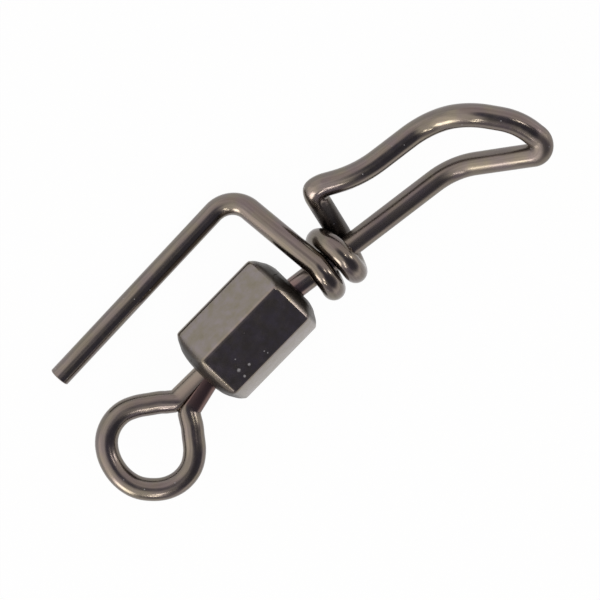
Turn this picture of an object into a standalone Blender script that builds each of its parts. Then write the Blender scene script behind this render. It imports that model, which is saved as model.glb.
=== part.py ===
# Fishing snap swivel: a hexagonal barrel that turns between a wire eye and a wire snap.
# Metres, +Z up. The barrel lies on one flat, with its axis along +X towards the snap.
# The origin is the middle of that flat, so the surface it lies on is z = 0.

import math

import bmesh
import bpy
from mathutils import Matrix, Vector

MM = 0.001

# Wire
SNAP_WIRE_D = 0.99 * MM
ARM_D = 0.91 * MM              # the snap's straight arm, drawn thinner
EYE_WIRE_D = 0.98 * MM

# Barrel
BARREL_FLATS = 3.66 * MM       # across flats
BARREL_LENGTH = 5.45 * MM      # over the crowned ends
SNAP_SHOULDER = 2.15 * MM      # middle to where the six edges stop, at the snap's end
EYE_SHOULDER = 2.04 * MM       # the same at the eye's end, which is rolled in further
CROWN_R = 1.84 * MM            # crown, rolled in from each corner
BORE_D = 2.60 * MM
END_WALL = 0.50 * MM           # hole's throat to the barrel's end
MOUTH_D = 1.78 * MM            # flared end of each wire hole
MOUTH_EDGE = 0.10 * MM         # rounding between crown and mouth
BLANK_MARGIN = 0.05 * MM       # turned blank beyond the hexagon's corners

# Heads of the two wires, held inside the barrel
HEAD_D = 1.90 * MM
HEAD_CLEARANCE = 0.05 * MM     # head to its conical seat
THROAT_CLEARANCE = 0.035 * MM  # leaning stem to the hole's throat

# Lean of the two wires in their loose holes, and how each is turned about the barrel's axis
STEM_LEAN = math.radians(8.2)
SNAP_ROLL = math.radians(19.0)
EYE_LEAN = math.radians(5.7)
EYE_ROLL = math.radians(19.0)

# Eye: a teardrop ring on two legs pressed to a half-round section
EYE_REACH = 4.92 * MM          # head centre to ring centre
# Ring, bent by hand: degrees round its centre from the legs, and mm out to the wire's middle
EYE_RING = ((20, 1.93), (40, 1.75), (60, 1.76), (80, 1.85), (100, 1.90), (120, 1.91),
            (140, 1.87), (160, 1.84), (180, 1.85), (200, 1.88), (220, 1.89), (240, 1.94),
            (260, 1.97), (280, 1.95), (300, 1.87), (320, 1.83), (340, 1.98))
KINK_REACH = 2.75 * MM         # head centre to the kink at the foot of the ring
KINK_SPREAD = 0.33 * MM        # wire middle from the eye's middle line at the kink
MOUTH_SPREAD = 0.15 * MM       # the same where the legs leave the barrel
ROOT_SPREAD = 0.04 * MM        # the same from the head to the throat
KINK_BEND_R = 0.45 * MM
LEG_SEAM = 0.03 * MM           # hairline between the two pressed legs

# Snap: coil round its own stem
COIL_CLEARANCE = 0.03 * MM     # coil to stem, and turn to turn
COIL_START = 2.56 * MM         # head centre to where the arm's leg crosses the stem
COIL_TURNS = 1.5               # from there back to the foot of the other leg
LEG_CLIMB = math.radians(40.0)  # lean of the leg between coil and elbow, out of the stem's plane
# How far each turn lies along the stem, in pitches, counted back from the arm's leg
COIL_LAY = ((0.0, 0.0), (0.12, 0.0), (0.25, 0.0), (0.5, 0.28), (0.75, 0.70), (1.0, 1.04),
            (1.25, 1.16), (1.5, 1.47), (1.75, 1.78))
# How far each turn stands off the stem beyond its clearance, in mm
COIL_BULGE = ((0.0, 0.01), (0.25, 0.02), (0.5, 0.01), (1.0, 0.0), (1.75, 0.0))

# Snap: the long loop, bent flat, leaned about the stem and folded up at the nose
LOOP_LEAN = math.radians(35.0)
LOOP_WIDTH = 2.56 * MM         # stem to upper leg, between wire middles
NOSE_FOLD = math.radians(45.0)
FOLD_REACH = 9.75 * MM         # head centre to the fold, along the stem
FOLD_R = 2.70 * MM
NOSE_TIP = 4.12 * MM           # fold to the corner at the end of the stem's side
NOSE_TIP_DROP = 0.18 * MM      # how far that corner lies outside the stem's line
NOSE_TIP_R = 0.85 * MM
NOSE_TURN = 4.69 * MM          # fold to the corner on the upper leg's side
NOSE_TURN_DROP = 1.77 * MM     # how far that corner lies inside the upper leg's line
NOSE_TURN_SINK = 0.85 * MM     # how far it is bent back down from the fold's slope
NOSE_TURN_R = 1.25 * MM
NOSE_SHOULDER = 1.90 * MM      # fold to where the upper leg starts to slope
NOSE_SHOULDER_RISE = 0.11 * MM  # above the upper leg's line
NOSE_SHOULDER_R = 2.50 * MM
ELBOW_REACH = 4.32 * MM        # head centre to the elbow, along the stem
ELBOW_RISE = 0.78 * MM         # elbow outside the upper leg, across the stem
ELBOW_R = 0.56 * MM
UPPER_KNEE = 6.20 * MM         # head centre to the slight bend in the upper leg
UPPER_KNEE_R = 3.00 * MM

# Snap: the arm that runs back beside the barrel
ARM_CORNER_REACH = 1.52 * MM   # head centre to the arm's corner, along the stem
ARM_OFFSET = 4.83 * MM         # corner from the stem
ARM_END_REACH = -9.00 * MM     # head centre to the cut end, along the stem
ARM_END_OFFSET = 3.06 * MM
ARM_BEND_R = 1.15 * MM

# Black nickel plate
BARREL_COLOUR = (0.20, 0.185, 0.175)
WIRE_COLOUR = (0.19, 0.175, 0.165)
PLATE_ROUGHNESS = 0.2

# Fineness of the meshes
WIRE_SIDES = 16
BEND_STEP = math.radians(12.0)
LATHE_SIDES = 48
CROWN_STEPS = 10
MOUTH_STEPS = 3
HEAD_SIDES = 24
HEAD_RINGS = 16
SMOOTH_LIMIT = math.radians(30.0)  # sharper edges than this stay sharp
BEND_SHARE = 0.99              # most of a straight run that its two bends may take

# Sizes that follow from those above
SNAP_WIRE_R = SNAP_WIRE_D / 2
ARM_R = ARM_D / 2
EYE_WIRE_R = EYE_WIRE_D / 2
HEAD_R = HEAD_D / 2
AXIS_HEIGHT = BARREL_FLATS / 2
CORNER_R = AXIS_HEIGHT / math.cos(math.pi / 6)
END_X = BARREL_LENGTH / 2
COIL_R = SNAP_WIRE_D + COIL_CLEARANCE
COIL_PITCH = SNAP_WIRE_D + COIL_CLEARANCE

# The head rests in a cone of 45 degrees. Its clearance sets where the head sits, and the
# leaning stem, as it goes round, sets how wide the throat has to be.
SEAT_REACH = math.sqrt(2) * (HEAD_R + HEAD_CLEARANCE)
THROAT_R = ((SNAP_WIRE_R / math.cos(STEM_LEAN) + SEAT_REACH * math.tan(STEM_LEAN) + THROAT_CLEARANCE)
            / (1 + math.tan(STEM_LEAN)))
THROAT_X = END_X - END_WALL
HEAD_X = THROAT_X + THROAT_R - SEAT_REACH
SEAT_X = THROAT_X - (BORE_D / 2 - THROAT_R)

# The arm comes down, at its corner, to the surface that the barrel lies on.
CORNER_ACROSS = ARM_OFFSET * math.cos(STEM_LEAN) - ARM_CORNER_REACH * math.sin(STEM_LEAN)
ARM_LIFT = (ARM_R - AXIS_HEIGHT + math.sin(SNAP_ROLL) * CORNER_ACROSS) / math.cos(SNAP_ROLL)


def clear_scene():
    for thing in list(bpy.data.objects):
        bpy.data.objects.remove(thing, do_unlink=True)


def plated_metal(name, colour):
    material = bpy.data.materials.new(name)
    material.use_nodes = True
    shader = material.node_tree.nodes["Principled BSDF"]
    shader.inputs["Base Color"].default_value = (*colour, 1.0)
    shader.inputs["Metallic"].default_value = 1.0
    shader.inputs["Roughness"].default_value = PLATE_ROUGHNESS
    return material


def add_object(name, data, material=None, parent=None):
    thing = bpy.data.objects.new(name, data)
    bpy.context.scene.collection.objects.link(thing)
    thing.parent = parent
    if material:
        data.materials.append(material)
    return thing


def mesh_from(name, build):
    shape = bmesh.new()
    build(shape)
    bmesh.ops.recalc_face_normals(shape, faces=shape.faces)
    mesh = bpy.data.meshes.new(name)
    shape.to_mesh(mesh)
    shape.free()
    mesh.shade_smooth()
    mesh.set_sharp_from_angle(angle=SMOOTH_LIMIT)
    return mesh


def ring_of_faces(shape, first, second):
    count = len(first)
    for i in range(count):
        j = (i + 1) % count
        shape.faces.new((first[i], first[j], second[j], second[i]))


def arc_through(corner, before, after, radius):
    """Points of the round bend that replaces a corner of a wire."""
    back = (before - corner).normalized()
    ahead = (after - corner).normalized()
    turn = math.pi - back.angle(ahead)
    inward = (back + ahead).normalized()
    centre = corner + inward * (radius / math.cos(turn / 2))
    start = corner + back * (radius * math.tan(turn / 2))
    spoke = start - centre
    axle = back.cross(ahead).normalized()
    steps = max(2, math.ceil(turn / BEND_STEP))
    return [centre + Matrix.Rotation(-turn * i / steps, 3, axle) @ spoke for i in range(steps + 1)]


def bend_wire(corners, radii):
    """A wire's middle line: straight runs between corners, with a round bend at each.

    Where two bends would meet on a short run, both are made tighter by the same share."""
    turns = [(corners[i] - corners[i - 1]).angle(corners[i + 1] - corners[i])
             for i in range(1, len(corners) - 1)]
    reaches = [0.0] + [r * math.tan(turn / 2) for r, turn in zip(radii, turns)] + [0.0]
    shares = [1.0] * len(corners)
    for i in range(len(corners) - 1):
        room = BEND_SHARE * (corners[i + 1] - corners[i]).length
        wanted = reaches[i] + reaches[i + 1]
        if wanted > room:
            shares[i] = min(shares[i], room / wanted)
            shares[i + 1] = min(shares[i + 1], room / wanted)
    points = [corners[0]]
    for i, radius in enumerate(radii, start=1):
        points += arc_through(corners[i], corners[i - 1], corners[i + 1], radius * shares[i])
    points.append(corners[-1])
    return points


def smooth_through(knots, t):
    """A smooth value at t, through (t, value) pairs."""
    def slope(i):
        low, high = knots[max(i - 1, 0)], knots[min(i + 1, len(knots) - 1)]
        return (high[1] - low[1]) / (high[0] - low[0])

    i = max(k for k in range(len(knots) - 1) if k == 0 or knots[k][0] <= t)
    (t0, v0), (t1, v1) = knots[i], knots[i + 1]
    span = t1 - t0
    part = (t - t0) / span
    return (v0 * (2 * part ** 3 - 3 * part ** 2 + 1) + slope(i) * span * (part ** 3 - 2 * part ** 2 + part)
            + v1 * (3 * part ** 2 - 2 * part ** 3) + slope(i + 1) * span * (part ** 3 - part ** 2))


# Barrel

def crown_profile(shoulder):
    """Half of the barrel's outline from its middle to one end, as (x, radius)."""
    rim = MOUTH_D / 2 + MOUTH_EDGE
    outside = CORNER_R + BLANK_MARGIN
    points = [(0.0, outside), (shoulder, outside)]
    centre_x = END_X - CROWN_R
    first = math.acos((shoulder - centre_x) / CROWN_R)
    centre_r = CORNER_R - CROWN_R * math.sin(first)
    last = math.asin((rim - centre_r) / CROWN_R)
    for i in range(CROWN_STEPS + 1):
        angle = first + (last - first) * i / CROWN_STEPS
        points.append((centre_x + CROWN_R * math.cos(angle), centre_r + CROWN_R * math.sin(angle)))
    for i in range(1, MOUTH_STEPS + 1):
        turn = math.pi / 2 * i / MOUTH_STEPS
        points.append((END_X - MOUTH_EDGE * (1 - math.cos(turn)), rim - MOUTH_EDGE * math.sin(turn)))
    points.append((THROAT_X, THROAT_R))
    points.append((SEAT_X, BORE_D / 2))
    return points


def build_barrel_lathe(shape):
    outline = crown_profile(SNAP_SHOULDER)
    outline += [(-x, r) for x, r in reversed(crown_profile(EYE_SHOULDER)[1:])]
    rings = []
    for i in range(LATHE_SIDES):
        angle = 2 * math.pi * (i + 0.5) / LATHE_SIDES
        rings.append([shape.verts.new((x, r * math.cos(angle), r * math.sin(angle)))
                      for x, r in outline])
    for i in range(LATHE_SIDES):
        ring_of_faces(shape, rings[i], rings[(i + 1) % LATHE_SIDES])


def build_hex_bar(shape):
    ends = []
    for x in (-END_X - BLANK_MARGIN, END_X + BLANK_MARGIN):
        ends.append([shape.verts.new((x, CORNER_R * math.cos(i * math.pi / 3),
                                      CORNER_R * math.sin(i * math.pi / 3))) for i in range(6)])
    ring_of_faces(shape, *ends)
    shape.faces.new(ends[0])
    shape.faces.new(list(reversed(ends[1])))


def make_barrel(swivel_axis):
    black_nickel = plated_metal("black_nickel_brass", BARREL_COLOUR)
    bar = add_object("hex_bar_guide", mesh_from("hex_bar_guide", build_hex_bar), parent=swivel_axis)
    bar.hide_render = True
    bar.display_type = "WIRE"
    barrel = add_object("barrel", mesh_from("barrel", build_barrel_lathe), black_nickel, swivel_axis)
    keep = barrel.modifiers.new("six_flats", "BOOLEAN")
    keep.operation = "INTERSECT"
    keep.solver = "EXACT"
    keep.object = bar


# Eye

def eye_middle_line():
    """Middle line of the eye wire in its own plane: from the head along -X, round and back."""
    centre = Vector((-EYE_REACH, 0, 0))
    first, last = EYE_RING[-1][0], EYE_RING[0][0]
    steps = math.ceil(math.radians(first - last) / BEND_STEP)
    ring = []
    for i in range(steps + 1):
        degrees = first + (last - first) * i / steps
        angle = math.radians(degrees)
        radius = smooth_through(EYE_RING, degrees) * MM
        ring.append(centre + radius * Vector((math.cos(angle), math.sin(angle), 0)))
    legs = []
    for side, touch in ((-1, ring[0]), (1, ring[-1])):
        root = Vector((0, side * ROOT_SPREAD, 0))
        throat = Vector((HEAD_X - THROAT_X, side * ROOT_SPREAD, 0))
        mouth = Vector((HEAD_X - END_X, side * MOUTH_SPREAD, 0))
        kink = Vector((-KINK_REACH, side * KINK_SPREAD, 0))
        legs.append([root, throat, mouth] + arc_through(kink, mouth, touch, KINK_BEND_R))
    return legs[0] + ring + list(reversed(legs[1]))


def build_eye(shape):
    line = eye_middle_line()
    middle = len(line) // 2
    rings = []
    for i, point in enumerate(line):
        before = line[max(i - 1, 0)]
        after = line[min(i + 1, len(line) - 1)]
        along = (after - before).normalized()
        across = along.cross(Vector((0, 0, 1)))
        ring = []
        for k in range(WIRE_SIDES):
            angle = 2 * math.pi * (k + 0.5) / WIRE_SIDES
            spot = point + EYE_WIRE_R * (math.cos(angle) * across + math.sin(angle) * Vector((0, 0, 1)))
            if i < middle:
                spot.y = min(spot.y, -LEG_SEAM / 2)
            if i > middle:
                spot.y = max(spot.y, LEG_SEAM / 2)
            ring.append(shape.verts.new(spot))
        rings.append(ring)
    for first, second in zip(rings, rings[1:]):
        ring_of_faces(shape, first, second)
    shape.faces.new(rings[0])
    shape.faces.new(list(reversed(rings[-1])))


def build_head(shape):
    bmesh.ops.create_uvsphere(shape, u_segments=HEAD_SIDES, v_segments=HEAD_RINGS, radius=HEAD_R)


def make_eye(swivel_axis):
    black_nickel = plated_metal("black_nickel_eye_wire", WIRE_COLOUR)
    roll = add_object("eye_roll", None, parent=swivel_axis)
    roll.location = (-HEAD_X, 0, 0)
    roll.rotation_euler = (-EYE_ROLL, 0, 0)
    head = add_object("eye_head_guide", mesh_from("eye_head_guide", build_head), parent=roll)
    head.hide_render = True
    head.display_type = "WIRE"
    eye = add_object("eye_wire", mesh_from("eye_wire", build_eye), black_nickel, roll)
    eye.rotation_euler = (0, 0, EYE_LEAN)
    head.rotation_euler = (0, 0, EYE_LEAN)
    upset = eye.modifiers.new("upset_head", "BOOLEAN")
    upset.operation = "UNION"
    upset.solver = "EXACT"
    upset.object = head


# Snap. Its own frame has x along the stem, y towards the arm and z up, from the head's centre.

def loop_point(along, across):
    """A point of the loop as it lies flat, leaned about the stem."""
    return Vector((along, across * math.cos(LOOP_LEAN), across * math.sin(LOOP_LEAN)))


def nose_point(along, across, sink=0.0):
    """A point of the nose, past the fold."""
    lift = Vector((0, -math.sin(LOOP_LEAN), math.cos(LOOP_LEAN)))
    ahead = Vector((math.cos(NOSE_FOLD), 0, 0)) + math.sin(NOSE_FOLD) * lift
    return loop_point(FOLD_REACH, across) + along * ahead - sink * lift


def coil_point(turns):
    """A point of the coil, so many turns before the place where the arm's leg crosses the stem."""
    angle = 2 * math.pi * turns
    along = COIL_START + COIL_PITCH * smooth_through(COIL_LAY, turns)
    radius = COIL_R + MM * smooth_through(COIL_BULGE, turns)
    return Vector((along, -radius * math.sin(angle), radius * math.cos(angle)))


def loop_line(foot):
    """Stem, nose, upper leg and elbow, as far as the foot of the leg on the coil."""
    elbow_y = loop_point(0, LOOP_WIDTH).y + ELBOW_RISE
    elbow_z = foot.z + (elbow_y - foot.y) * math.tan(LEG_CLIMB)
    corners = [
        Vector((0, 0, 0)),
        loop_point(FOLD_REACH, 0),
        nose_point(NOSE_TIP, -NOSE_TIP_DROP),
        nose_point(NOSE_TURN, LOOP_WIDTH - NOSE_TURN_DROP, NOSE_TURN_SINK),
        nose_point(NOSE_SHOULDER, LOOP_WIDTH + NOSE_SHOULDER_RISE),
        loop_point(FOLD_REACH, LOOP_WIDTH),
        loop_point(UPPER_KNEE, LOOP_WIDTH),
        Vector((ELBOW_REACH, elbow_y, elbow_z)),
        foot,
    ]
    radii = (FOLD_R, NOSE_TIP_R, NOSE_TURN_R, NOSE_SHOULDER_R, FOLD_R, UPPER_KNEE_R, ELBOW_R)
    return bend_wire(corners, radii)


def coil_line(first, last):
    steps = math.ceil((first - last) * 2 * math.pi / BEND_STEP)
    return [coil_point(first + (last - first) * i / steps) for i in range(1, steps + 1)]


def snap_line():
    """The snap's middle line as (point, wire radius), from its head to the arm's cut end."""
    line = []
    neck = math.pi - math.asin(SNAP_WIRE_R / HEAD_R)
    steps = math.ceil(neck / BEND_STEP)
    for i in range(1, steps + 1):
        angle = neck * i / steps
        line.append((Vector((-HEAD_R * math.cos(angle), 0, 0)), HEAD_R * math.sin(angle)))

    first = COIL_TURNS + LEG_CLIMB / (2 * math.pi)
    corner = Vector((ARM_CORNER_REACH, ARM_OFFSET, ARM_LIFT))
    dip = math.asin(COIL_R / math.hypot(corner.y, corner.z)) - math.atan2(corner.z, corner.y)
    wound = loop_line(coil_point(first))[1:] + coil_line(first, -dip / (2 * math.pi))
    line += [(point, SNAP_WIRE_R) for point in wound]

    end = Vector((ARM_END_REACH, ARM_END_OFFSET, ARM_LIFT))
    bend = arc_through(corner, wound[-1], end, ARM_BEND_R)
    for i, point in enumerate(bend):
        line.append((point, SNAP_WIRE_R + (ARM_R - SNAP_WIRE_R) * i / (len(bend) - 1)))
    line.append((end, ARM_R))
    return line


def make_snap(swivel_axis):
    black_nickel = plated_metal("black_nickel_snap_wire", WIRE_COLOUR)
    roll = add_object("snap_roll", None, parent=swivel_axis)
    roll.location = (HEAD_X, 0, 0)
    roll.rotation_euler = (-SNAP_ROLL, 0, 0)
    line = snap_line()
    curve = bpy.data.curves.new("snap_wire", "CURVE")
    curve.dimensions = "3D"
    curve.bevel_depth = SNAP_WIRE_R
    curve.bevel_resolution = WIRE_SIDES // 2 - 2
    curve.use_fill_caps = True
    spline = curve.splines.new("POLY")
    spline.points.add(len(line) - 1)
    for spot, (point, radius) in zip(spline.points, line):
        spot.co = (*point, 1.0)
        spot.radius = radius / SNAP_WIRE_R
    snap = add_object("snap_wire", curve, black_nickel, roll)
    snap.rotation_euler = (0, 0, -STEM_LEAN)


def main():
    clear_scene()
    swivel_axis = add_object("swivel_axis", None)
    swivel_axis.location = (0, 0, AXIS_HEIGHT)
    make_barrel(swivel_axis)
    make_eye(swivel_axis)
    make_snap(swivel_axis)


main()
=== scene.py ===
import math

import bmesh
import bpy
from mathutils import Matrix, Vector


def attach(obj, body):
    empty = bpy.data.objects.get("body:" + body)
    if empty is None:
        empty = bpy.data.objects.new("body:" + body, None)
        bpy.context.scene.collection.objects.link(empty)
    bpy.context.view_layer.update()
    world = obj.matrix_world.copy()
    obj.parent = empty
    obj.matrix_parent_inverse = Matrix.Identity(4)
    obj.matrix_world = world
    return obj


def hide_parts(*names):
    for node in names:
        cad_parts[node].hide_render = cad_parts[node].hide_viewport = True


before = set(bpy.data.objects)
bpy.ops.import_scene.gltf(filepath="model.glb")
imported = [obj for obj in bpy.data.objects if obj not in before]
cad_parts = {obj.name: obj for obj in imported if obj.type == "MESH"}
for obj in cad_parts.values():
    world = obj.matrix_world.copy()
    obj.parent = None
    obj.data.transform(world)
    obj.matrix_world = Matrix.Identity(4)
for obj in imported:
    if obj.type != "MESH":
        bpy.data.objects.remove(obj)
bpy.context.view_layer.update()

mm = 0.001
fineStep = math.radians(4)  # turn of a bend from one ring of the wire to the next
wireSides = 48  # faces round a wire


# Helpers

def linear(hexColour):
    # the one place where an sRGB colour turns linear
    channels = [int(hexColour[i:i + 2], 16) / 255 for i in (1, 3, 5)]
    light = [c / 12.92 if c <= 0.04045 else ((c + 0.055) / 1.055) ** 2.4 for c in channels]
    return (*light, 1.0)


def addNode(tree, kind, settings=None, inputs=None):
    node = tree.nodes.new(kind)
    for name, value in (settings or {}).items():
        setattr(node, name, value)
    for name, value in (inputs or {}).items():
        if isinstance(value, bpy.types.NodeSocket):
            tree.links.new(value, node.inputs[name])
        else:
            node.inputs[name].default_value = value
    return node


def addObject(name, data):
    thing = bpy.data.objects.new(name, data)
    bpy.context.scene.collection.objects.link(thing)
    return thing


def settledMesh(thing, name):
    # the mesh of an object with its modifiers applied
    seen = thing.evaluated_get(bpy.context.evaluated_depsgraph_get())
    mesh = bpy.data.meshes.new_from_object(seen)
    mesh.name = name
    return mesh


def meshOf(name, build):
    # a new mesh of what build puts into an empty shape
    shape = bmesh.new()
    build(shape)
    bmesh.ops.recalc_face_normals(shape, faces=shape.faces)
    mesh = bpy.data.meshes.new(name)
    shape.to_mesh(mesh)
    shape.free()
    return mesh


def smoothThrough(knots, t):
    # value at t of a smooth curve through knots of (t, value)
    def slope(i):
        low, high = knots[max(i - 1, 0)], knots[min(i + 1, len(knots) - 1)]
        return (high[1] - low[1]) / (high[0] - low[0])

    i = max(k for k in range(len(knots) - 1) if k == 0 or knots[k][0] <= t)
    (t0, v0), (t1, v1) = knots[i], knots[i + 1]
    span = t1 - t0
    part = (t - t0) / span
    return (v0 * (2 * part ** 3 - 3 * part ** 2 + 1)
            + slope(i) * span * (part ** 3 - 2 * part ** 2 + part)
            + v1 * (3 * part ** 2 - 2 * part ** 3)
            + slope(i + 1) * span * (part ** 3 - part ** 2))


def bendAt(corner, before, after, radius):
    # points of the round bend that replaces a corner of a wire
    back = (before - corner).normalized()
    ahead = (after - corner).normalized()
    turn = math.pi - back.angle(ahead)
    centre = corner + (back + ahead).normalized() * (radius / math.cos(turn / 2))
    spoke = corner + back * (radius * math.tan(turn / 2)) - centre
    axle = back.cross(ahead).normalized()
    steps = max(2, math.ceil(turn / fineStep))
    return [centre + Matrix.Rotation(-turn * i / steps, 3, axle) @ spoke for i in range(steps + 1)]


def bendWire(corners, radii):
    # points of a wire that is bent round at its corners; neighbouring bends share a short straight
    turns = [(corners[i] - corners[i - 1]).angle(corners[i + 1] - corners[i])
             for i in range(1, len(corners) - 1)]
    reaches = [0.0] + [r * math.tan(turn / 2) for r, turn in zip(radii, turns)] + [0.0]
    shares = [1.0] * len(corners)
    for i in range(len(corners) - 1):
        room = 0.99 * (corners[i + 1] - corners[i]).length  # a little of it stays straight
        wanted = reaches[i] + reaches[i + 1]
        if wanted > room:
            shares[i] = min(shares[i], room / wanted)
            shares[i + 1] = min(shares[i + 1], room / wanted)
    points = [corners[0]]
    for i, radius in enumerate(radii, start=1):
        points += bendAt(corners[i], corners[i - 1], corners[i + 1], radius * shares[i])
    points.append(corners[-1])
    return points


def sweepWire(shape, line, place):
    # Rings of points along a middle line of (point, radius), joined to a tube with closed ends.
    # place(i, centre, offset) gives each point of ring i. The UV map holds mm along and mm round.
    run = shape.loops.layers.uv.new("wireMap")
    centres = [point for point, _ in line]
    ways = [(centres[min(i + 1, len(line) - 1)] - centres[max(i - 1, 0)]).normalized()
            for i in range(len(line))]
    side = ways[0].orthogonal().normalized()
    rings, along = [], [0.0]
    for i, (centre, radius) in enumerate(line):
        side = (side - side.dot(ways[i]) * ways[i]).normalized()
        other = ways[i].cross(side)
        ring = []
        for k in range(wireSides):
            angle = 2 * math.pi * (k + 0.5) / wireSides
            offset = radius * (math.cos(angle) * side + math.sin(angle) * other)
            ring.append(shape.verts.new(place(i, centre, offset) * mm))
        rings.append(ring)
        if i:
            along.append(along[-1] + (centre - centres[i - 1]).length)
    for i in range(len(rings) - 1):
        for k in range(wireSides):
            j = (k + 1) % wireSides
            face = shape.faces.new((rings[i][k], rings[i][j], rings[i + 1][j], rings[i + 1][k]))
            around = [2 * math.pi * line[i][1] * step / wireSides for step in (k, k + 1, k + 1, k)]
            ends = (along[i], along[i], along[i + 1], along[i + 1])
            for loop, u, v in zip(face.loops, ends, around):
                loop[run].uv = (u, v)
    shape.faces.new(list(reversed(rings[0])))
    shape.faces.new(rings[-1])


# View: the photograph's viewing angle

view = {
    "roll": 19.0,              # degrees from straight above, towards the arm
    "heading": 45.6,           # degrees that the barrel's axis points up in the picture
    "distance": 60.0,          # mm from the barrel's axis
    "width": 25.53,            # mm across the picture, at that distance
    "middle": (2.238, 1.294),  # mm from the barrel's middle to the picture's, right and up
    "axisHeight": 1.83,        # mm from the surface to the barrel's axis
}
roll, heading = math.radians(view["roll"]), math.radians(view["heading"])
towardCamera = Vector((0, math.sin(roll), math.cos(roll)))
acrossAxis = Vector((0, math.cos(roll), -math.sin(roll)))
pictureRight = Vector((math.cos(heading), 0, 0)) - math.sin(heading) * acrossAxis
pictureUp = Vector((math.sin(heading), 0, 0)) + math.cos(heading) * acrossAxis


def placeCamera():
    lens = bpy.data.cameras.new("photoView")
    lens.sensor_width = 36.0
    lens.lens = lens.sensor_width * view["distance"] / view["width"]
    lens.clip_start = 0.001
    lens.clip_end = 10.0
    camera = addObject("photoView", lens)
    right, up = view["middle"]
    spot = (Vector((0, 0, view["axisHeight"])) + right * pictureRight + up * pictureUp
            + view["distance"] * towardCamera)
    turn = Matrix((pictureRight, pictureUp, towardCamera)).transposed().to_4x4()
    camera.matrix_world = Matrix.Translation(spot * mm) @ turn
    bpy.context.scene.camera = camera


# Studio: a light tent seen from the picture's own directions, soft lamps and a pale floor

studio = {
    "tent": "#fef9f6",          # cloth of the tent
    "tentStrength": 1.28,
    # Parts of the tent: (degrees round the picture from its right, degrees from the camera),
    # then degrees to the part's inner and outer edge, colour and strength
    "parts": (
        ((-148, 79), 29, 40, "#fff8f0", 1.74),    # the cloth nearest to the window
        ((66, 42), 40, 54, "#fff5f7", 1.02),      # duller cloth at the top
        ((-7, 78), 9, 24, "#f5eeff", 0.45),       # open front of the tent, from its edges
        ((-88, 78), 7, 36, "#f5eeff", 0.435),
        ((21, 7), 1, 30, "#dcdcff", 0.215),       # to the dark room round the camera
        ((-33, 51), 25, 49, "#dfdfff", 0.152),
    ),
    "lampColour": "#fffaf0",
    "lampDistance": 200.0,      # mm
    # lamps: direction as above, mm long, mm wide, degrees that the length is turned, radiance
    "lamps": (
        ((15, 66), 36.0, 16.0, 15, 13.0),
        ((14, 34), 20.0, 16.0, 14, 13.0),
        ((-126, 74), 90.0, 66.0, -126, 5.8),
        ((-93, 47), 30.0, 20.0, -93, 11.6),
        ((-96, 63), 24.0, 20.0, -96, 14.5),
    ),
    "floorHalf": 400.0,         # mm
    "floor": "#f1f0ee",
    "whiteToCamera": 0.97,      # share of plain white that the camera sees in the floor
    # share of plain white that polished metal mirrors: on the side away from the arm, where the
    # lower share is painted shade of the floor beside the barrel, and on the arm's side, and the
    # mm across where the one goes over to the other
    "whiteToGloss": (0.57, 1.0),
    "shadeToPale": (-3.0, 5.0),
}


def direction(degrees):
    around, away = (math.radians(d) for d in degrees)
    return (math.sin(away) * (math.cos(around) * pictureRight + math.sin(around) * pictureUp)
            + math.cos(away) * towardCamera)


def hangTent():
    world = bpy.data.worlds.new("lightTent")
    world.use_nodes = True
    bpy.context.scene.world = world
    tree = world.node_tree
    tree.nodes.clear()
    ray = addNode(tree, "ShaderNodeTexCoord").outputs["Generated"]
    colour = tuple(c * studio["tentStrength"] for c in linear(studio["tent"])[:3]) + (1.0,)
    for toward, inner, outer, hexColour, strength in studio["parts"]:
        facing = addNode(tree, "ShaderNodeVectorMath", {"operation": "DOT_PRODUCT"},
                         {0: ray, 1: direction(toward)})
        share = addNode(tree, "ShaderNodeMapRange", {"interpolation_type": "SMOOTHSTEP"},
                        {"Value": facing.outputs["Value"],
                         "From Min": math.cos(math.radians(outer)),
                         "From Max": math.cos(math.radians(inner))})
        patch = tuple(c * strength for c in linear(hexColour)[:3]) + (1.0,)
        mixed = addNode(tree, "ShaderNodeMix", {"data_type": "RGBA"},
                        {0: share.outputs["Result"], 6: colour, 7: patch})
        colour = mixed.outputs[2]
    tent = addNode(tree, "ShaderNodeBackground", None, {"Color": colour})
    white = addNode(tree, "ShaderNodeBackground", None, {"Color": (1, 1, 1, 1)})
    path = addNode(tree, "ShaderNodeLightPath")
    seen = addNode(tree, "ShaderNodeMixShader", None,
                   {0: path.outputs["Is Camera Ray"], 1: tent.outputs[0], 2: white.outputs[0]})
    addNode(tree, "ShaderNodeOutputWorld", None, {"Surface": seen.outputs[0]})


def hangLamps():
    for i, (toward, long, wide, turned, radiance) in enumerate(studio["lamps"]):
        light = bpy.data.lights.new("stripLamp", "AREA")
        light.shape = "RECTANGLE"
        light.size, light.size_y = long * mm, wide * mm
        light.energy = radiance * math.pi * light.size * light.size_y
        light.color = linear(studio["lampColour"])[:3]
        lamp = addObject("stripLamp" + str(i + 1), light)
        way = direction(toward)
        angle = math.radians(turned)
        length = math.cos(angle) * pictureRight + math.sin(angle) * pictureUp
        length = (length - length.dot(way) * way).normalized()
        lamp.matrix_world = (Matrix.Translation(way * studio["lampDistance"] * mm)
                             @ Matrix((length, way.cross(length), way)).transposed().to_4x4())


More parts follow.
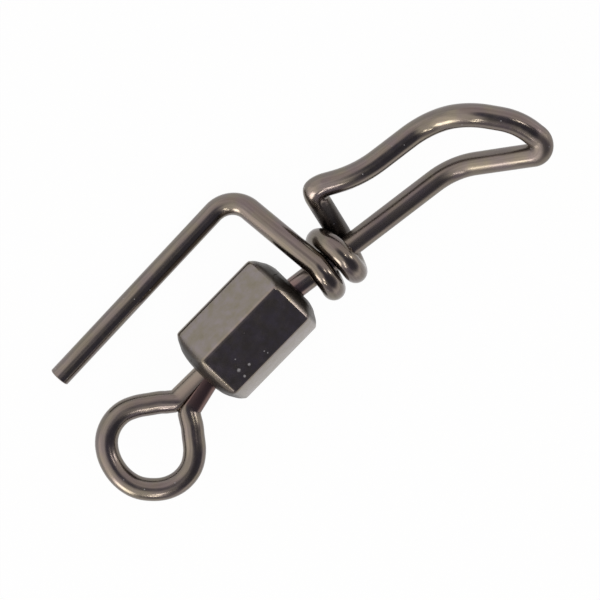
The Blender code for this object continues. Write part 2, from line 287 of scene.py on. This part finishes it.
def layFloor():
    half = studio["floorHalf"] * mm
    mesh = bpy.data.meshes.new("paperFloor")
    mesh.from_pydata([(-half, -half, 0), (half, -half, 0), (half, half, 0), (-half, half, 0)],
                     [], [(0, 1, 2, 3)])
    paper = bpy.data.materials.new("matPaper")  # matt white paper: no gloss, keeps the shadow
    paper.use_nodes = True
    tree = paper.node_tree
    tree.nodes.clear()
    matt = addNode(tree, "ShaderNodeBsdfDiffuse", None, {"Color": linear(studio["floor"])})
    white = addNode(tree, "ShaderNodeEmission", None, {"Color": (1, 1, 1, 1)})
    path = addNode(tree, "ShaderNodeLightPath")
    toCamera = addNode(tree, "ShaderNodeMath", {"operation": "MULTIPLY"},
                       {0: path.outputs["Is Camera Ray"], 1: studio["whiteToCamera"]})
    mirrored = addNode(tree, "ShaderNodeMath", {"operation": "MAXIMUM"},
                       {0: path.outputs["Is Glossy Ray"], 1: path.outputs["Is Transmission Ray"]})
    across = addNode(tree, "ShaderNodeSeparateXYZ", None,
                     {"Vector": addNode(tree, "ShaderNodeTexCoord").outputs["Object"]})
    # painted shade: metal mirrors less of the floor's white on the side away from the arm
    pale = addNode(tree, "ShaderNodeMapRange", {"interpolation_type": "SMOOTHSTEP"},
                   {"Value": across.outputs["Y"], "From Min": studio["shadeToPale"][0] * mm,
                    "From Max": studio["shadeToPale"][1] * mm, "To Min": studio["whiteToGloss"][0],
                    "To Max": studio["whiteToGloss"][1]})
    share = addNode(tree, "ShaderNodeMath", {"operation": "MULTIPLY_ADD"},
                    {0: mirrored.outputs[0], 1: pale.outputs["Result"], 2: toCamera.outputs[0]})
    seen = addNode(tree, "ShaderNodeMixShader", None,
                   {0: share.outputs[0], 1: matt.outputs[0], 2: white.outputs[0]})
    addNode(tree, "ShaderNodeOutputMaterial", None, {"Surface": seen.outputs[0]})
    mesh.materials.append(paper)
    addObject("paperFloor", mesh)


# Finishes

plating = {                      # what all three plated pieces share
    "castNoise": (0.36, 0.64),   # noise where the plate is all warm and where it is all rosy
    "markNoise": (0.3, 0.7),     # noise where marks and haze reach their least and their most
    "stretchFade": 0.2,          # mm over which a stretch of the wire fades, to each side
    "speckCore": 0.4,            # share of a speck's radius that is covered in full
    "blisterCore": 0.3,          # and of a blister's
    "blisterRag": 0.1,           # mm that noise can shift a blister's edge
    "dust": "#98989a",
    "dustRoughness": 0.6,
    "dustCover": 0.75,           # a speck lets some of the plate through
}


def blackNickel(name, finish, mapName=None):
    # Polished metal under black nickel plate. The eye gets a dark mirror with a warm cast, whose
    # highlights are softened by a fine haze and broken up by the marks of drawing or turning.
    material = bpy.data.materials.new(name)
    material.use_nodes = True
    tree = material.node_tree
    tree.nodes.clear()
    place = addNode(tree, "ShaderNodeTexCoord").outputs["Object"]
    least, most = plating["markNoise"]

    # Marks: lines along drawn wire, or a slight mottle on turned metal
    if mapName:
        wireMap = addNode(tree, "ShaderNodeUVMap", {"uv_map": mapName}).outputs["UV"]
        spread = addNode(tree, "ShaderNodeMapping", {"vector_type": "POINT"},
                         {"Vector": wireMap,
                          "Scale": (1 / finish["lineLength"], 1 / finish["lineWidth"], 1.0)})
        marks = addNode(tree, "ShaderNodeTexNoise", None,
                        {"Vector": spread.outputs["Vector"], "Scale": 1.0,
                         "Detail": 3.0, "Roughness": 0.6})
    else:
        marks = addNode(tree, "ShaderNodeTexNoise", None,
                        {"Vector": place, "Scale": 1 / (finish["mottle"] * mm),
                         "Detail": 3.0, "Roughness": 0.5})
    relief = addNode(tree, "ShaderNodeBump", None,
                     {"Height": marks.outputs["Fac"], "Strength": 1.0,
                      "Distance": finish["markDepth"] * mm})

    # Plate colour wanders between warm and rosy grey, where the plate is thicker or thinner
    wander = addNode(tree, "ShaderNodeTexNoise", None,
                     {"Vector": place, "Scale": 1 / (finish["castPatch"] * mm),
                      "Detail": 3.0, "Roughness": 0.55})
    share = addNode(tree, "ShaderNodeMapRange", None,
                    {"Value": wander.outputs["Fac"], "From Min": plating["castNoise"][0],
                     "From Max": plating["castNoise"][1]})
    cast = addNode(tree, "ShaderNodeMix", {"data_type": "RGBA"},
                   {0: share.outputs["Result"], 6: linear(finish["warm"]),
                    7: linear(finish["rosy"])})
    shade = addNode(tree, "ShaderNodeMapRange", None,
                    {"Value": marks.outputs["Fac"], "From Min": least, "From Max": most,
                     "To Min": finish["markShade"][0], "To Max": finish["markShade"][1]})
    cast = addNode(tree, "ShaderNodeVectorMath", {"operation": "SCALE"},
                   {0: cast.outputs[2], "Scale": shade.outputs["Result"]}).outputs["Vector"]

    # Fine haze: the polish isn't even
    haze = addNode(tree, "ShaderNodeTexNoise", None,
                   {"Vector": place, "Scale": 1 / (finish["hazePatch"] * mm),
                    "Detail": 4.0, "Roughness": 0.6})
    roughness = addNode(tree, "ShaderNodeMapRange", None,
                        {"Value": haze.outputs["Fac"], "From Min": least, "From Max": most,
                         "To Min": finish["roughness"][0],
                         "To Max": finish["roughness"][1]}).outputs["Result"]

    # Stretches of the wire, in mm along it, with a colour and roughness of their own: rougher or
    # tinted plate, and painted shade where the wire lies in shade
    if mapName:
        along = addNode(tree, "ShaderNodeSeparateXYZ", None, {"Vector": wireMap}).outputs["X"]
    for first, last, colour, rough in finish.get("stretches", ()):
        fade = plating["stretchFade"]
        begun = addNode(tree, "ShaderNodeMapRange", {"interpolation_type": "SMOOTHSTEP"},
                        {"Value": along, "From Min": first - fade, "From Max": first + fade})
        going = addNode(tree, "ShaderNodeMapRange", {"interpolation_type": "SMOOTHSTEP"},
                        {"Value": along, "From Min": last + fade, "From Max": last - fade})
        here = addNode(tree, "ShaderNodeMath", {"operation": "MULTIPLY"},
                       {0: begun.outputs["Result"], 1: going.outputs["Result"]}).outputs[0]
        if colour:
            cast = addNode(tree, "ShaderNodeMix", {"data_type": "RGBA"},
                           {0: here, 6: cast, 7: linear(colour)}).outputs[2]
        roughness = addNode(tree, "ShaderNodeMix", {"data_type": "FLOAT"},
                            {0: here, 2: roughness, 3: rough}).outputs[0]

    # Rolled ends of the barrel, in mm along its axis, which weren't polished again: rougher, and
    # darkened by painted shade for their shaded hollow crowns
    if "rolled" in finish:
        axis = addNode(tree, "ShaderNodeSeparateXYZ", None, {"Vector": place}).outputs["X"]
        for begin, full, colour, rough in finish["rolled"]:
            endShadeShare = addNode(tree, "ShaderNodeMapRange", {"interpolation_type": "SMOOTHSTEP"},
                           {"Value": axis, "From Min": begin * mm,
                            "From Max": full * mm}).outputs["Result"]
            cast = addNode(tree, "ShaderNodeMix", {"data_type": "RGBA"},
                           {0: endShadeShare, 6: cast, 7: linear(colour)}).outputs[2]
            roughness = addNode(tree, "ShaderNodeMix", {"data_type": "FLOAT"},
                                {0: endShadeShare, 2: roughness, 3: rough}).outputs[0]

    # Specks: pinholes and dust that catch light from every side
    grain = addNode(tree, "ShaderNodeTexVoronoi", {"feature": "F1"},
                    {"Vector": place, "Scale": 1 / (finish["speckEvery"] * mm),
                     "Randomness": 1.0})
    speck = finish["speckSize"] / finish["speckEvery"]
    specks = addNode(tree, "ShaderNodeMapRange", {"interpolation_type": "SMOOTHSTEP"},
                     {"Value": grain.outputs["Distance"], "From Min": speck,
                      "From Max": plating["speckCore"] * speck}).outputs["Result"]
    if "blisters" in finish:
        # noise averages a half, so half of the shift is taken off again
        rag = plating["blisterRag"]
        ragged = addNode(tree, "ShaderNodeVectorMath", {"operation": "MULTIPLY_ADD"},
                         {0: haze.outputs["Color"], 1: (rag * mm,) * 3, 2: place})
        for middle, radius in finish["blisters"]:
            away = addNode(tree, "ShaderNodeVectorMath", {"operation": "DISTANCE"},
                           {0: ragged.outputs["Vector"],
                            1: tuple((c + rag / 2) * mm for c in middle)})
            spot = addNode(tree, "ShaderNodeMapRange", {"interpolation_type": "SMOOTHSTEP"},
                           {"Value": away.outputs["Value"], "From Min": radius * mm,
                            "From Max": plating["blisterCore"] * radius * mm})
            specks = addNode(tree, "ShaderNodeMath", {"operation": "MAXIMUM"},
                             {0: specks, 1: spot.outputs["Result"]}).outputs[0]

    plate = addNode(tree, "ShaderNodeBsdfPrincipled", None,
                    {"Base Color": cast, "Metallic": 1.0, "Roughness": roughness,
                     "Normal": relief.outputs["Normal"]})
    dust = addNode(tree, "ShaderNodeBsdfPrincipled", None,
                   {"Base Color": linear(plating["dust"]), "Roughness": plating["dustRoughness"]})
    shown = addNode(tree, "ShaderNodeMath", {"operation": "MULTIPLY"},
                    {0: specks, 1: plating["dustCover"]})
    shader = addNode(tree, "ShaderNodeMixShader", None,
                     {0: shown.outputs[0], 1: plate.outputs[0], 2: dust.outputs[0]})
    addNode(tree, "ShaderNodeOutputMaterial", None, {"Surface": shader.outputs[0]})
    return material


# Barrel. Its sections are six flats with rounded corners, which turn round towards each mouth.

barrel = {
    # each flat: degrees from +Y towards +Z, and mm from the axis
    "flats": ((30, 1.855), (90, 1.847), (147, 1.80), (210, 1.847), (270, 1.80), (330, 1.89)),
    # mm of round at the corner after each flat; the swaging die leaves no two edges alike
    "corners": (0.13, 0.14, 0.16, 0.2, 0.2, 0.34),
    "bulge": 0.03,           # mm that the flats are domed
    "plainHalf": 1.9,        # mm of full section to each side of the middle
    "plainCorner": 9.9,      # mm, beyond any corner, so that the full section isn't cut
    # crown: mm from the mouth's plane, share of a flat's distance from the axis that is left
    # there, and mm from the axis to the corners
    "crown": ((0.66, 1.0, 2.13), (0.58, 0.998, 2.12), (0.50, 0.988, 2.08), (0.44, 0.968, 2.01),
              (0.38, 0.948, 1.93), (0.32, 0.918, 1.835), (0.26, 0.874, 1.715),
              (0.19, 0.812, 1.575), (0.11, 0.735, 1.42), (0.055, 0.66, 1.235),
              (0.02, 0.58, 1.09), (0.0, 0.52, 0.962)),
    "crownRings": 45,
    "crownStretch": (1.0, 1.12),  # the snap's end is rolled in over a little more of the length
    "ends": (2.657, 2.715),  # mm from the middle to the mouth's plane, at the eye and the snap
    "mouthRadius": 0.89,     # mm, like all below
    "mouthEdge": 0.07,
    "throatRadius": 0.646,
    "boreRadius": 1.30,
    "endWall": 0.50,
    "around": 480,           # faces round a section
    "creaseAngle": 35,       # degrees from which an edge stays sharp
    "finish": {
        "warm": "#877f72", "rosy": "#837b79",
        # castPatch, hazePatch, mottle, markDepth, speckEvery and speckSize are in mm, and
        # markShade is how far the marks darken and lighten the plate. A deeper mottle would
        # break the mirrored light up into grains.
        "castPatch": 0.42, "hazePatch": 0.35, "roughness": (0.15, 0.24),
        "mottle": 0.42, "markDepth": 0.0002, "markShade": (0.86, 1.12),
        "speckEvery": 0.9, "speckSize": 0.02,
        # rolled ends, darkened with painted shade: mm along the axis where each begins and is
        # full, colour of the painted shade, and roughness
        "rolled": ((-1.98, -2.40, "#35312f", 0.40), (2.12, 2.34, "#46423e", 0.38)),
        # blisters in the plate: middle and radius in mm
        "blisters": (((-1.351, -0.340, 3.677), 0.115), ((-0.897, -0.475, 3.677), 0.085),
                     ((-1.375, -0.690, 3.677), 0.085), ((-0.062, -0.530, 3.677), 0.055),
                     ((-0.015, -0.700, 3.677), 0.055), ((-1.126, 0.124, 3.677), 0.05)),
    },
}


def barrelRadius(angle, share, cornerReach):
    # Where a spoke at this angle meets the section of six flats and rounded corners
    flats = [(math.radians(turn), far * share) for turn, far in barrel["flats"]]
    spoke = Vector((math.cos(angle), math.sin(angle)))
    for i, soft in enumerate(barrel["corners"]):
        (turnA, farA), (turnB, farB) = flats[i], flats[(i + 1) % len(flats)]
        half = ((turnB - turnA) % (2 * math.pi)) / 2
        mean = (farA + farB) / 2
        # the round grows where the crown cuts the corner back
        needed = (mean / math.cos(half) - cornerReach) / (1 / math.cos(half) - 1)
        soft = min(max(soft, needed), 0.999 * mean)  # short of a full circle
        wayA, wayB = (Vector((math.cos(turn), math.sin(turn))) for turn in (turnA, turnB))
        # centre of the corner's round: it lies the same depth inside both flats
        cross = wayA.x * wayB.y - wayA.y * wayB.x
        heart = Vector((((farA - soft) * wayB.y - (farB - soft) * wayA.y) / cross,
                        ((farB - soft) * wayA.x - (farA - soft) * wayB.x) / cross))
        first, last = heart + soft * wayA, heart + soft * wayB
        pastFirst = first.x * spoke.y - first.y * spoke.x >= 0
        beforeLast = spoke.x * last.y - spoke.y * last.x >= 0
        if pastFirst and beforeLast:
            reach = spoke.dot(heart)
            return reach + math.sqrt(max(soft ** 2 - heart.length_squared + reach ** 2, 0))
    turn, far = max(flats, key=lambda flat: math.cos(angle - flat[0]))
    aside = math.tan(angle - turn) / math.tan(math.radians(30))  # 1 at an even flat's edges
    dome = barrel["bulge"] * share * max(0, 1 - aside ** 2)
    return (far + dome) / math.cos(angle - turn)


def barrelSections():
    # (x, share, corner reach) of the sections outside, from the eye's mouth to the snap's,
    # and (x, radius) of the round ones inside, back to the eye's
    share = [(-depth, part) for depth, part, _ in barrel["crown"]]
    corner = [(-depth, reach) for depth, _, reach in barrel["crown"]]
    last = barrel["crownRings"] - 1
    depths = [barrel["crown"][0][0] * (1 - i / last) for i in range(last + 1)]
    crown = [(depth, smoothThrough(share, -depth), smoothThrough(corner, -depth))
             for depth in depths]
    eyeEnd, snapEnd = barrel["ends"]
    eyeStretch, snapStretch = barrel["crownStretch"]
    outside = [(depth * eyeStretch - eyeEnd, part, reach)
               for depth, part, reach in reversed(crown)]
    outside += [(x / 4 * barrel["plainHalf"], 1.0, barrel["plainCorner"]) for x in range(-4, 5)]
    outside += [(snapEnd - depth * snapStretch, part, reach) for depth, part, reach in crown]

    edge = barrel["mouthEdge"]
    rim = barrel["mouthRadius"] + edge
    inside = []
    for side, end in ((1, snapEnd), (-1, eyeEnd)):
        # rounded edge of the mouth in steps of 15 degrees, then throat and conical seat
        profile = [(side * (end - edge * (1 - math.cos(turn))), rim - edge * math.sin(turn))
                   for turn in (math.pi / 12 * i for i in range(1, 7))]
        throat = end - barrel["endWall"]
        profile.append((side * throat, barrel["throatRadius"]))
        profile.append((side * (throat - barrel["boreRadius"] + barrel["throatRadius"]),
                        barrel["boreRadius"]))
        inside += profile if side > 0 else list(reversed(profile))
    return outside, inside


def barrelShell(shape):
    outside, inside = barrelSections()
    count = barrel["around"]
    turns = [2 * math.pi * k / count for k in range(count)]
    sections = [(x, [barrelRadius(turn, share, reach) for turn in turns])
                for x, share, reach in outside]
    sections += [(x, [radius] * count) for x, radius in inside]
    rings = [[shape.verts.new(Vector((x, r * math.cos(turn), r * math.sin(turn))) * mm)
              for r, turn in zip(radii, turns)] for x, radii in sections]
    for ring, after in zip(rings, rings[1:] + rings[:1]):
        for k in range(count):
            j = (k + 1) % count
            shape.faces.new((ring[k], ring[j], after[j], after[k]))


def makeBarrel():
    mesh = meshOf("hexBarrel", barrelShell)
    mesh.shade_smooth()
    mesh.set_sharp_from_angle(angle=math.radians(barrel["creaseAngle"]))
    mesh.transform(Matrix.Translation((0, 0, view["axisHeight"] * mm)))
    mesh.materials.append(blackNickel("blackNickelOnBrass", barrel["finish"]))
    piece = addObject("hexBarrel", mesh)
    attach(piece, "barrel")
    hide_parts("barrel")
    print("barrel made:", len(mesh.polygons), "faces")


# Eye. Its own frame starts at the head's centre, with x along the legs and the ring in xy.

eye = {
    "wire": 0.98,            # mm, like all that isn't in degrees
    "lean": 5.7,             # degrees that it tilts in the barrel's hole
    "roll": 19.0,            # degrees that it is turned about the barrel's axis
    "ringReach": 4.92,       # from the head's centre to the ring's
    # degrees round the ring's centre from the legs, and mm out to the wire's middle
    "ring": ((20, 1.93), (40, 1.75), (60, 1.76), (80, 1.85), (100, 1.90), (120, 1.91),
             (140, 1.87), (160, 1.84), (180, 1.85), (200, 1.88), (220, 1.89), (240, 1.94),
             (260, 1.97), (280, 1.95), (300, 1.87), (320, 1.83), (340, 1.98)),
    "kinkReach": 2.75,       # from the head's centre to where the legs part
    "kinkSpread": 0.33,      # from the middle plane to a leg's middle: at the kink,
    "mouthSpread": 0.15,     # in the barrel's mouth
    "rootSpread": 0.04,      # and inside the barrel
    "kinkBend": 0.45,        # radius
    "press": 0.004,          # the legs' flat sides meet, so the seam lets no light through
    "pressStart": 0.2,       # the flat sides begin so far beyond the kink
    "pressFade": 0.5,        # and are full so much further in
    "seamStart": 0.7,        # from so far beyond the kink each leg keeps to its own side
    "headRadius": 0.95,
    "headFaces": (48, 32),   # round and from pole to pole
    "headX": 1.457,          # from the barrel's middle to the head's centre,
    "throatX": 2.225,        # to its throat
    "endX": 2.725,           # and to just past its mouth
    "creaseAngle": 30,       # degrees from which an edge stays sharp
    "finish": {
        "warm": "#7a7368", "rosy": "#776e6c",
        "castPatch": 0.8, "hazePatch": 0.25, "roughness": (0.18, 0.27),
        # drawing lines in mm; real ones are 0.01 to 0.02 mm wide, too fine to show, so these
        # are drawn as coarse as they need to show
        "lineLength": 1.8, "lineWidth": 0.12, "markDepth": 0.00015, "markShade": (0.80, 1.14),
        "speckEvery": 0.5, "speckSize": 0.035,
        # the two pressed legs, one darker and browner and one lighter: mm along the wire, colour,
        # roughness
        "stretches": ((0.5, 2.6, "#725e5a", 0.3), (14.4, 16.8, "#897f75", 0.27)),
    },
}


def eyeLine():
    # middle line of the wire: up one leg, round the ring and back down the other leg
    centre = Vector((-eye["ringReach"], 0, 0))
    first, last = eye["ring"][-1][0], eye["ring"][0][0]
    steps = math.ceil(math.radians(first - last) / fineStep)
    ring = []
    for i in range(steps + 1):
        degrees = first + (last - first) * i / steps
        angle = math.radians(degrees)
        spoke = Vector((math.cos(angle), math.sin(angle), 0))
        ring.append(centre + smoothThrough(eye["ring"], degrees) * spoke)
    legs = []
    for side, touch in ((-1, ring[0]), (1, ring[-1])):
        root = Vector((0, side * eye["rootSpread"], 0))
        throat = Vector((eye["headX"] - eye["throatX"], side * eye["rootSpread"], 0))
        mouth = Vector((eye["headX"] - eye["endX"], side * eye["mouthSpread"], 0))
        kink = Vector((-eye["kinkReach"], side * eye["kinkSpread"], 0))
        legs.append([root, throat, mouth] + bendAt(kink, mouth, touch, eye["kinkBend"]))
    return legs[0] + ring + list(reversed(legs[1]))


def eyeTube(shape):
    line = [(point, eye["wire"] / 2) for point in eyeLine()]
    middle = len(line) // 2

    def pressed(i, centre, offset):
        # the legs are pressed together: half-round at the barrel, and round again past the kink
        side = -1 if i < middle else 1
        out = side * offset.y
        spread = side * centre.y
        half = eye["wire"] / 2
        flat = min(max((centre.x + eye["kinkReach"] + eye["pressStart"]) / eye["pressFade"], 0), 1)
        spot = centre + offset
        if centre.x > -eye["kinkReach"] - eye["seamStart"]:
            cutRound = (1 - flat) * max(0, spread + out)
            halfRound = flat * (spread + half) * max(0, out) / half
            spot.y = side * (cutRound + halfRound - eye["press"])
        return spot

    sweepWire(shape, line, pressed)


def makeEye():
    around, poleToPole = eye["headFaces"]
    tube = addObject("eyeTube", meshOf("eyeTube", eyeTube))
    head = addObject("eyeHead", meshOf("eyeHead", lambda shape: bmesh.ops.create_uvsphere(
        shape, u_segments=around, v_segments=poleToPole, radius=eye["headRadius"] * mm)))
    join = tube.modifiers.new("upsetHead", "BOOLEAN")
    join.operation, join.solver, join.object = "UNION", "EXACT", head
    join.use_self = True  # the ring closes against its own legs
    mesh = settledMesh(tube, "eyeWire")
    for guide in (tube, head):
        bpy.data.objects.remove(guide)
    mesh.shade_smooth()
    mesh.set_sharp_from_angle(angle=math.radians(eye["creaseAngle"]))
    mesh.transform(Matrix.Translation(Vector((-eye["headX"], 0, view["axisHeight"])) * mm)
                   @ Matrix.Rotation(-math.radians(eye["roll"]), 4, "X")
                   @ Matrix.Rotation(math.radians(eye["lean"]), 4, "Z"))
    mesh.materials.clear()
    mesh.materials.append(blackNickel("blackNickelOnEyeWire", eye["finish"], "wireMap"))
    piece = addObject("eyeWire", mesh)
    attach(piece, "eye")
    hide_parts("eye_wire")
    print("eye made:", len(mesh.polygons), "faces")


# Snap. Its own frame has x along the stem, y towards the arm and z up, from the head's centre.

snap = {
    "wire": 0.99,            # mm, like all that isn't in degrees
    "armWire": 0.91,         # the arm measures a little thinner
    "stemLean": 8.2,         # degrees that it tilts in the barrel's hole
    "roll": 19.0,            # degrees that it is turned about the barrel's axis
    "headX": 1.457,          # from the barrel's middle to the head's centre
    "headRadius": 0.95,
    "headRings": 24,
    "creaseAngle": 30,       # degrees from which an edge stays sharp
    # coil: turns are counted from where it lies highest, the barrel's side first
    "coilRadius": 1.02, "coilPitch": 1.02, "coilStart": 2.56,
    "coilTurns": 1.5,
    "legClimb": 40.0,        # degrees that the leg leaves the coil at
    # turns, and pitches along the stem there: the turns lie unevenly
    "coilLay": ((0.0, 0.0), (0.12, 0.0), (0.25, 0.0), (0.5, 0.28), (0.75, 0.70), (1.0, 1.04),
                (1.25, 1.16), (1.5, 1.47), (1.75, 1.78)),
    # turns, and mm that the coil is wider there
    "coilBulge": ((0.0, 0.01), (0.25, 0.02), (0.5, 0.01), (1.0, 0.0), (1.75, 0.0)),
    "loopLean": 35.0,        # degrees that the loop leans out of the arm's plane
    "loopWidth": 2.56,
    "noseFold": 45.0,        # degrees that the nose is folded up
    "foldReach": 9.75, "foldBend": 2.70,
    # Corners of the nose: beyond the fold, short of the loop's second leg (the tip: outside the
    # first, the shoulder: outside the second), below the nose's plane, and the bend's radius
    "noseTip": 4.15, "noseTipDrop": 0.39, "noseTipSink": 0.36, "noseTipBend": 0.70,
    "noseTurn": 4.57, "noseTurnDrop": 2.47, "noseTurnSink": 0.75, "noseTurnBend": 0.95,
    "brow": 4.05, "browDrop": 1.30, "browSink": 0.76, "browBend": 3.0,
    "shoulder": 1.90, "shoulderRise": 0.11, "shoulderBend": 2.50,
    "elbowReach": 4.32, "elbowRise": 0.78, "elbowBend": 0.56,
    "kneeReach": 6.20, "kneeBend": 4.60,
    "armCorner": (1.52, 4.83), "armEnd": (-9.00, 3.06), "armBend": 1.15,
    "cutEdge": 0.03,         # bevel round the arm's cut end
    "elbowPoint": (0.20, 0.42),  # how far the elbow is pushed out, and over what length
    "finish": {
        "warm": "#7a7368", "rosy": "#776e6c",
        "castPatch": 0.8, "hazePatch": 0.25, "roughness": (0.15, 0.24),
        # drawn as coarse as the eye's lines, for the same reason
        "lineLength": 2.4, "lineWidth": 0.12, "markDepth": 0.00015, "markShade": (0.80, 1.14),
        "speckEvery": 0.5, "speckSize": 0.035,
        # mm along the wire, colour (None: as it is) and roughness
        "stretches": (
            (0.5, 2.5, "#7c6b67", 0.22),     # stem between barrel and coil
            (3.5, 13.5, None, 0.27),         # the loop's leg beyond the coil
            (14.3, 15.4, None, 0.42),        # end of the nose
            # painted shade: the leg under the elbow is darkened where it lies in shade
            (26.2, 28.9, "#56524f", 0.36),   # leg under the elbow
        ),
    },
}


def loopPoint(along, across):
    # a point in the plane of the loop's two legs
    lean = math.radians(snap["loopLean"])
    return Vector((along, across * math.cos(lean), across * math.sin(lean)))


def nosePoint(along, across, sink=0.0):
    # a point in the folded nose, or so far below its plane
    lean, fold = math.radians(snap["loopLean"]), math.radians(snap["noseFold"])
    lift = Vector((0, -math.sin(lean), math.cos(lean)))
    ahead = Vector((math.cos(fold), 0, 0)) + math.sin(fold) * lift
    return loopPoint(snap["foldReach"], across) + along * ahead - sink * lift


def coilPoint(turns):
    angle = 2 * math.pi * turns
    radius = snap["coilRadius"] + smoothThrough(snap["coilBulge"], turns)
    return Vector((snap["coilStart"] + snap["coilPitch"] * smoothThrough(snap["coilLay"], turns),
                   -radius * math.sin(angle), radius * math.cos(angle)))


def snapLine():
    # (point, radius) from the head to the arm's cut end, and the corners that it is bent from
    wide, width = snap["wire"] / 2, snap["loopWidth"]
    climb = math.radians(snap["legClimb"])
    line = []
    # the head is part of the tube: rings that widen from a pole and narrow again to the neck
    neck = math.pi - math.asin(wide / snap["headRadius"])
    for i in range(1, snap["headRings"] + 1):
        angle = neck * i / snap["headRings"]
        line.append((Vector((-snap["headRadius"] * math.cos(angle), 0, 0)),
                     snap["headRadius"] * math.sin(angle)))

    first = snap["coilTurns"] + climb / (2 * math.pi)
    foot = coilPoint(first)
    elbowY = loopPoint(0, width).y + snap["elbowRise"]
    corners = [
        Vector((0, 0, 0)),
        loopPoint(snap["foldReach"], 0),
        nosePoint(snap["noseTip"], -snap["noseTipDrop"], snap["noseTipSink"]),
        nosePoint(snap["noseTurn"], width - snap["noseTurnDrop"], snap["noseTurnSink"]),
        nosePoint(snap["brow"], width - snap["browDrop"], snap["browSink"]),
        nosePoint(snap["shoulder"], width + snap["shoulderRise"]),
        loopPoint(snap["foldReach"], width),
        loopPoint(snap["kneeReach"], width),
        Vector((snap["elbowReach"], elbowY, foot.z + (elbowY - foot.y) * math.tan(climb))),
        foot,
    ]
    bends = [snap[name + "Bend"] for name in (
        "fold", "noseTip", "noseTurn", "brow", "shoulder", "fold", "knee", "elbow")]
    wound = bendWire(corners, bends)[1:]

    # the arm's corner rests on the surface, which sets the height of the arm
    roll, lean = math.radians(snap["roll"]), math.radians(snap["stemLean"])
    lift = (snap["armWire"] / 2 - view["axisHeight"]
            + math.sin(roll) * (snap["armCorner"][1] * math.cos(lean)
                                - snap["armCorner"][0] * math.sin(lean)))
    lift /= math.cos(roll)
    corner = Vector((*snap["armCorner"], lift))
    end = Vector((*snap["armEnd"], lift))
    # the arm leaves the coil where a straight line to its corner touches the coil
    dip = (math.asin(snap["coilRadius"] / math.hypot(corner.y, corner.z))
           - math.atan2(corner.z, corner.y))
    last = -dip / (2 * math.pi)
    steps = math.ceil((first - last) * 2 * math.pi / fineStep)
    wound += [coilPoint(first + (last - first) * i / steps) for i in range(1, steps + 1)]
    line += [(point, wide) for point in wound]

    thin = snap["armWire"] / 2
    bend = bendAt(corner, wound[-1], end, snap["armBend"])
    line += [(point, wide + (thin - wide) * i / (len(bend) - 1)) for i, point in enumerate(bend)]
    back = (bend[-1] - end).normalized()
    line.append((end + back * snap["cutEdge"], thin))
    line.append((end, thin - snap["cutEdge"]))
    return line, corners


def makeSnap():
    line, corners = snapLine()
    knee, elbow, foot = corners[-3:]
    outward = -((knee - elbow).normalized() + (foot - elbow).normalized()).normalized()
    push, reach = snap["elbowPoint"]

    def pressed(i, centre, offset):
        # the bending tool leaves a point on the outside of the elbow
        near = math.exp(-((centre - elbow).length / reach) ** 2)
        facing = max(0, offset.normalized().dot(outward))
        return centre + offset + push * near * facing ** 2 * outward

    mesh = meshOf("snapWire", lambda shape: sweepWire(shape, line, pressed))
    mesh.shade_smooth()
    mesh.set_sharp_from_angle(angle=math.radians(snap["creaseAngle"]))
    mesh.transform(Matrix.Translation(Vector((snap["headX"], 0, view["axisHeight"])) * mm)
                   @ Matrix.Rotation(-math.radians(snap["roll"]), 4, "X")
                   @ Matrix.Rotation(-math.radians(snap["stemLean"]), 4, "Z"))
    mesh.materials.append(blackNickel("blackNickelOnSnapWire", snap["finish"], "wireMap"))
    piece = addObject("snapWire", mesh)
    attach(piece, "snap")
    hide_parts("snap_wire")
    print("snap made:", len(mesh.polygons), "faces")


placeCamera()
hangTent()
hangLamps()
layFloor()
print("studio ready")
makeBarrel()
makeEye()
makeSnap()

bpy.context.scene.view_settings.view_transform = "Standard"
